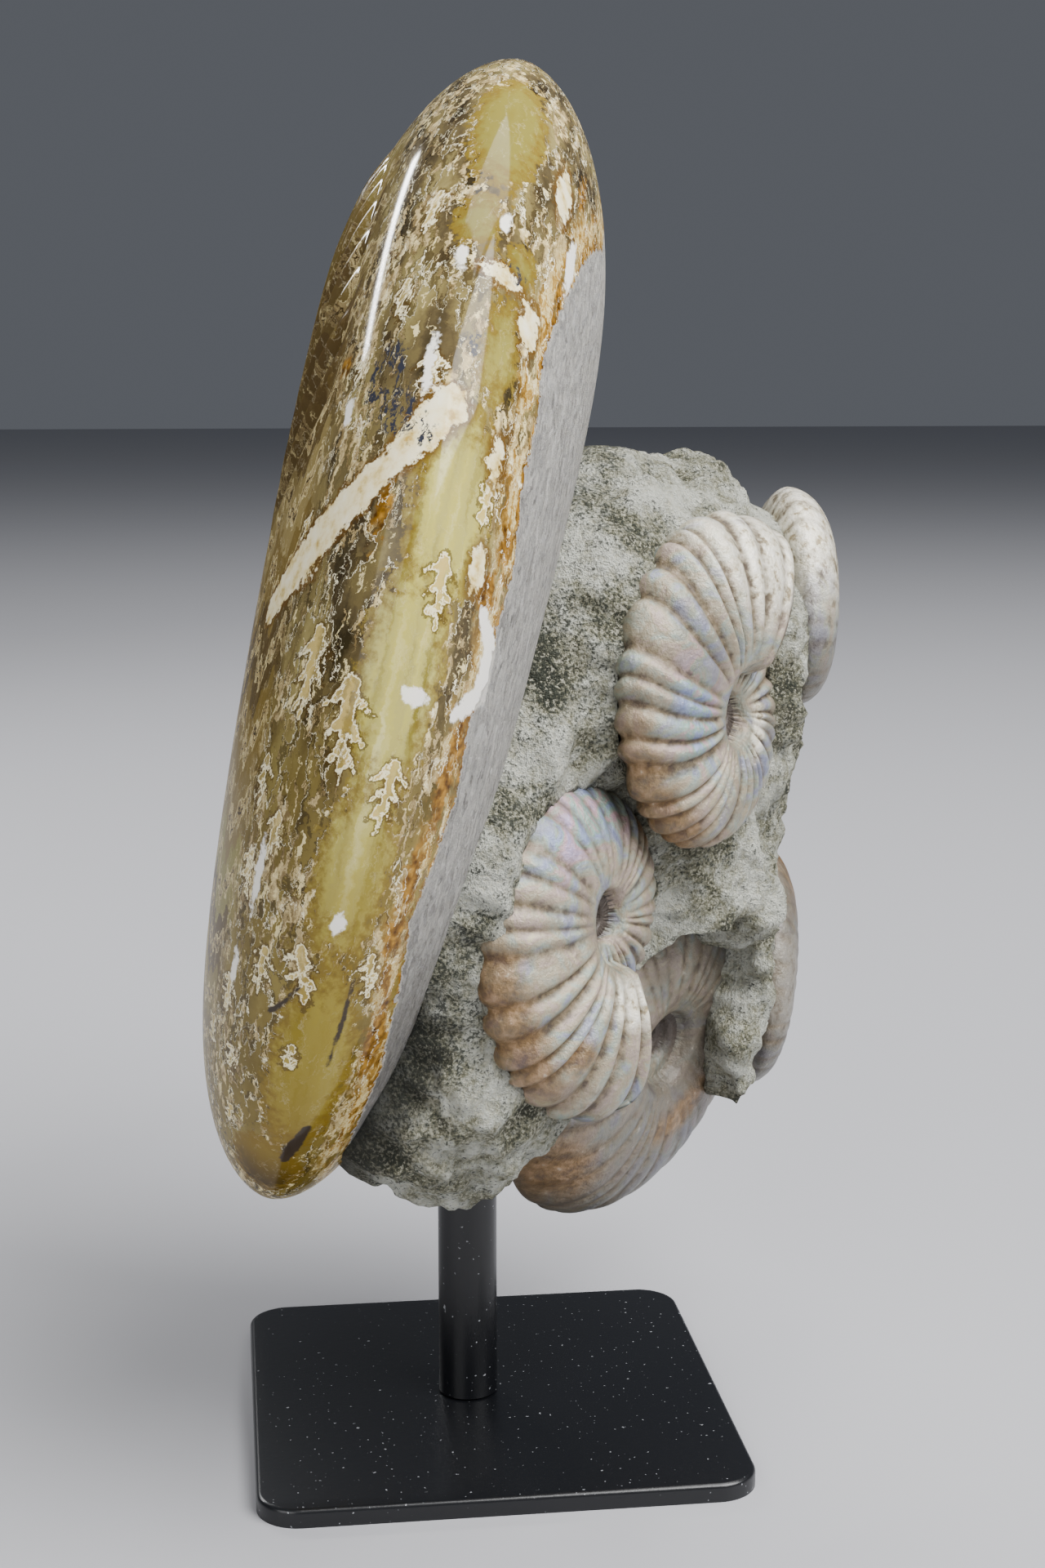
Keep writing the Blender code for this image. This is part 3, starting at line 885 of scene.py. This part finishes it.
def paint_finish(tones):
    """Black powder coat: a satin skin with a faint orange peel of 1 mm and a little dust."""
    finish = new_material("black powder coat")
    place = add(finish, "TexCoord", output="Object")
    peel = noise_of(finish, place, (900, 900, 900), 2.0)
    dust = noise_of(finish, place, (1300, 1300, 1300), 1.0)
    colour = layered(finish, rgba(tones.paint), [((dust, 0.72, 0.78), "#8a8c90")])
    relief = add(finish, "Bump", {"Height": peel, "Strength": 0.08, "Distance": 0.0002})
    shader = add(finish, "BsdfPrincipled", {"Base Color": colour, "Roughness": 0.3, "Normal": relief})
    add(finish, "OutputMaterial", {"Surface": shader})
    return finish


def length_setting(name, description, metres):
    return bpy.props.FloatProperty(name=name, description=description, default=metres, unit="LENGTH", precision=4)


def colour_setting(name, description, hex_colour):
    return bpy.props.FloatVectorProperty(
        name=name, description=description, default=linear(hex_colour), subtype="COLOR", size=3, min=0, max=1
    )


def round_edges(made, chosen, radius, steps):
    """Rounds the edges of an object that a test of their two ends chooses."""
    enter("EDIT")
    bpy.ops.mesh.select_mode(type="EDGE")
    bpy.ops.mesh.select_all(action="DESELECT")
    enter("OBJECT")
    for edge in made.data.edges:
        edge.select = chosen(*(made.data.vertices[index].co for index in edge.vertices))
    enter("EDIT")
    bpy.ops.mesh.bevel(offset=radius, segments=steps, affect="EDGES")
    enter("OBJECT")


class StandSettings(bpy.types.PropertyGroup):
    plate_side: length_setting("Plate side", "Side of the square plate", 0.08)
    plate_thickness: length_setting("Plate thickness", "Thickness of the plate", 0.003)
    corner_radius: length_setting("Corner radius", "Radius of the plate's corners", 0.007)
    edge_radius: length_setting("Edge radius", "Rounding of the plate's top edge", 0.0008)
    post_diameter: length_setting("Post diameter", "Diameter of the steel post", 0.01)
    paint: colour_setting("Paint", "Colour of the powder coat", "#0e0f12")


class CalciteSettings(bpy.types.PropertyGroup):
    window: colour_setting("Windows", "Colour of the clear calcite", "#aea660")
    amber: colour_setting("Amber", "Colour of the clear calcite at the foot", "#6f5517")
    brown: colour_setting("Brown", "Colour of the deep calcite", "#544931")
    gold: colour_setting("Gold", "Colour of the shell flakes", "#b9a475")
    cream: colour_setting("Cream", "Colour of the pale shell", "#e0cf98")
    rust: colour_setting("Rust", "Colour of the iron stain", "#7a5518")
    worn: colour_setting("Worn layer", "Colour of the dull layer beside the stone", "#cac7c0")
    white: colour_setting("White", "Colour of the bare nacre", "#f2eee4")


class PearlSettings(bpy.types.PropertyGroup):
    pearl: colour_setting("Pearl", "Main colour of the small shells", "#a5a08e")
    blue: colour_setting("Blue", "Colour of the bluish areas", "#8c98b6")
    cream: colour_setting("Cream", "Colour of the cream areas", "#ece5d0")
    rust: colour_setting("Rust", "Colour of the brown areas", "#785a30")
    groove: colour_setting("Grooves", "Colour of the stain between the ribs", "#66583f")


class StoneSettings(bpy.types.PropertyGroup):
    grid: length_setting("Grid", "Size of the stone's mesh faces", 0.0009)
    roughness: length_setting("Roughness", "Height of the stone's broken surface", 0.0028)
    hug: length_setting("Hug", "How near a shell the stone closes on it", 0.0034)
    stone: colour_setting("Stone", "Main colour of the sandstone", "#abab9a")
    pale: colour_setting("Pale grains", "Colour of the pale grains", "#d8d5bf")
    dark: colour_setting("Dark grains", "Colour of the dark green grains", "#30352a")


class StageSettings(bpy.types.PropertyGroup):
    floor: colour_setting("Floor", "Colour of the floor", "#aaaaae")
    surroundings: colour_setting("Surroundings", "Colour of the light from all round", "#5a5d63")


class AMMONITE_OT_stand(bpy.types.Operator):
    """Models the steel plate and post"""

    bl_idname = "ammonite.stand"
    bl_label = "Steel stand"

    def execute(self, context):
        sizes = context.scene.ammonite_stand
        paint = paint_finish(sizes)
        low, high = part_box("base_plate")
        deselect_all()
        bpy.ops.mesh.primitive_cube_add(size=1, location=(low + high) / 2)
        plate = context.object
        plate.name = "painted_plate"
        plate.scale = (sizes.plate_side, sizes.plate_side, sizes.plate_thickness)
        bpy.ops.object.transform_apply(location=True, rotation=False, scale=True)
        thick = sizes.plate_thickness
        round_edges(plate, lambda start, end: abs(start.z - end.z) > thick / 2, sizes.corner_radius, 16)
        round_edges(plate, lambda start, end: min(start.z, end.z) > high.z - thick / 30, sizes.edge_radius, 5)
        bpy.ops.object.shade_smooth_by_angle(angle=SMOOTH_ANGLE)
        plate.data.materials.append(paint)
        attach(plate, "root")
        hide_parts("base_plate")

        low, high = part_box("post")
        deselect_all()
        bpy.ops.mesh.primitive_cylinder_add(
            vertices=96, radius=sizes.post_diameter / 2, depth=high.z - low.z, location=(low + high) / 2
        )
        post = context.object
        post.name = "painted_post"
        bpy.ops.object.transform_apply(location=True, rotation=False, scale=False)
        bpy.ops.object.shade_smooth_by_angle(angle=SMOOTH_ANGLE)
        post.data.materials.append(paint)
        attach(post, "root")
        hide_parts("post")
        return {"FINISHED"}


class AMMONITE_OT_large_shell(bpy.types.Operator):
    """Models the large polished ammonite"""

    bl_idname = "ammonite.large_shell"
    bl_label = "Large polished ammonite"

    def execute(self, context):
        made = shell_object(LARGE, calcite_finish(context.scene.ammonite_calcite))
        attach(made, "root")
        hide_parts(LARGE.name)
        return {"FINISHED"}


class AMMONITE_OT_small_shells(bpy.types.Operator):
    """Models the small pearly ammonites"""

    bl_idname = "ammonite.small_shells"
    bl_label = "Small pearly ammonites"

    def execute(self, context):
        nacre = nacre_finish(context.scene.ammonite_pearl)
        for shell in SMALL:
            made = shell_object(shell, nacre)
            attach(made, "root")
            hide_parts(shell.name)
        return {"FINISHED"}


class AMMONITE_OT_stone(bpy.types.Operator):
    """Models the sandstone that the shells sit in"""

    bl_idname = "ammonite.stone"
    bl_label = "Sandstone"

    def execute(self, context):
        sizes = context.scene.ammonite_stone
        deselect_all()
        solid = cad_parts["matrix"]
        mesh = solid.data.copy()
        mesh.materials.clear()
        made = bpy.data.objects.new("rough_sandstone", mesh)
        context.scene.collection.objects.link(made)
        context.view_layer.objects.active = made
        made.select_set(True)
        enter("EDIT")
        bpy.ops.mesh.select_all(action="SELECT")
        bpy.ops.mesh.remove_doubles(threshold=WELD)
        for middle, half in RIDGES:
            bpy.ops.mesh.primitive_uv_sphere_add(radius=1, location=Vector(middle) * MM, scale=Vector(half) * MM)
        enter("OBJECT")
        remesh = made.modifiers.new("even grid", "REMESH")
        remesh.mode = "VOXEL"
        remesh.voxel_size = sizes.grid
        bpy.ops.object.modifier_apply(modifier=remesh.name)
        smooth = made.modifiers.new("worn", "SMOOTH")
        smooth.iterations = 10
        bpy.ops.object.modifier_apply(modifier=smooth.name)
        mesh = made.data
        trees = []
        graph = context.evaluated_depsgraph_get()
        for shell in [LARGE, *SMALL]:
            trees.append(BVHTree.FromObject(bpy.data.objects[shell.name + "_fine"], graph))
        places = [point.co.copy() for point in mesh.vertices]
        normals = [point.normal.copy() for point in mesh.vertices]
        reach = sizes.hug * (1 + HUG_FADE)
        moved = np.empty((len(places), 3))
        beside = np.zeros((2, len(places)))
        for index, (co, normal) in enumerate(zip(places, normals)):
            nearest = (reach, None, None)
            for number, tree in enumerate(trees):
                kind = min(number, 1)
                away = tree.find_nearest(co, BESIDE[kind])[3]
                if away is not None:
                    beside[kind, index] = max(beside[kind, index], 1 - away / BESIDE[kind])
                spot, facing, _, away = tree.find_nearest(co, reach)
                if spot is not None and away < nearest[0]:
                    nearest = (away, spot, facing)
            # Broken faces of 14 mm and less, sharp hollows of 6 mm and lumps of 2.6 mm
            rough = noise.fractal(co / (14 * MM), 0.9, 2.1, 6) * sizes.roughness
            rough -= abs(noise.noise(co / (6 * MM))) * sizes.roughness * 0.8
            rough += noise.noise(co / (2.6 * MM)) * sizes.roughness * 0.3
            place = co
            # Beside a shell the stone goes under its surface, and is less rough
            if nearest[1]:
                pull = min(1, (reach - nearest[0]) / (sizes.hug * HUG_FADE))
                place = co.lerp(nearest[1] - nearest[2] * STONE_DEPTH, pull)
                rough *= 1 - 0.75 * pull
            moved[index] = place + normal * rough
        mesh.vertices.foreach_set("co", moved.ravel())
        mesh.update()
        for name, values in zip(("beside_large", "beside_small"), beside):
            mark = mesh.attributes.new(name, "FLOAT", "POINT")
            mark.data.foreach_set("value", values.astype(np.float32))
        bpy.ops.object.shade_smooth()
        mesh.materials.append(sandstone_finish(sizes))
        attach(made, "root")
        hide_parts("matrix")
        return {"FINISHED"}


class AMMONITE_OT_stage(bpy.types.Operator):
    """Sets the pale floor, the soft light and the camera"""

    bl_idname = "ammonite.stage"
    bl_label = "Floor, light and camera"

    def execute(self, context):
        tones = context.scene.ammonite_stage
        deselect_all()
        bpy.ops.mesh.primitive_plane_add(size=12)
        floor = context.object
        floor.name = "floor"
        pale = new_material("pale floor")
        shader = add(pale, "BsdfPrincipled", {"Base Color": rgba(tones.floor), "Roughness": 0.6})
        add(pale, "OutputMaterial", {"Surface": shader})
        floor.data.materials.append(pale)

        world = bpy.data.worlds.new("studio")
        context.scene.world = world
        world.use_nodes = True
        world.node_tree.nodes["Background"].inputs["Color"].default_value = rgba(tones.surroundings)

        for name, place, width, height, power in LIGHTS:
            light = bpy.data.lights.new(name, "AREA")
            light.shape = "RECTANGLE"
            light.size = width
            light.size_y = height
            light.energy = power
            lamp = bpy.data.objects.new(name, light)
            lamp.location = place
            lamp.rotation_euler = (LIT_PLACE - Vector(place)).to_track_quat("-Z", "Y").to_euler()
            context.scene.collection.objects.link(lamp)

        view = bpy.data.cameras.new("camera")
        view.sensor_width = 36
        view.lens = LENS
        view.clip_start = 0.01
        camera = bpy.data.objects.new("camera", view)
        camera.location = CAMERA_PLACE
        camera.rotation_euler = (math.radians(CAMERA_TILT), 0, math.radians(CAMERA_TURN))
        context.scene.collection.objects.link(camera)
        context.scene.camera = camera
        return {"FINISHED"}


class AMMONITE_PT_panel(bpy.types.Panel):
    """Lists the pieces of the ammonite on its stand"""

    bl_label = "Ammonite on stand"
    bl_idname = "AMMONITE_PT_panel"
    bl_space_type = "VIEW_3D"
    bl_region_type = "UI"
    bl_category = "Ammonite"

    def draw(self, context):
        for operator in OPERATORS:
            self.layout.operator(operator.bl_idname)


GROUPS = {
    "ammonite_stand": StandSettings,
    "ammonite_calcite": CalciteSettings,
    "ammonite_pearl": PearlSettings,
    "ammonite_stone": StoneSettings,
    "ammonite_stage": StageSettings,
}
OPERATORS = (
    AMMONITE_OT_stand,
    AMMONITE_OT_large_shell,
    AMMONITE_OT_small_shells,
    AMMONITE_OT_stone,
    AMMONITE_OT_stage,
)


def register():
    for thing in (*GROUPS.values(), *OPERATORS, AMMONITE_PT_panel):
        bpy.utils.register_class(thing)
    for name, group in GROUPS.items():
        setattr(bpy.types.Scene, name, bpy.props.PointerProperty(type=group))


def unregister():
    for name in GROUPS:
        delattr(bpy.types.Scene, name)
    for thing in reversed((*GROUPS.values(), *OPERATORS, AMMONITE_PT_panel)):
        bpy.utils.unregister_class(thing)


def main():
    register()
    bpy.ops.ammonite.stand()
    bpy.ops.ammonite.large_shell()
    bpy.ops.ammonite.small_shells()
    bpy.ops.ammonite.stone()
    bpy.ops.ammonite.stage()


if __name__ == "__main__":
    main()
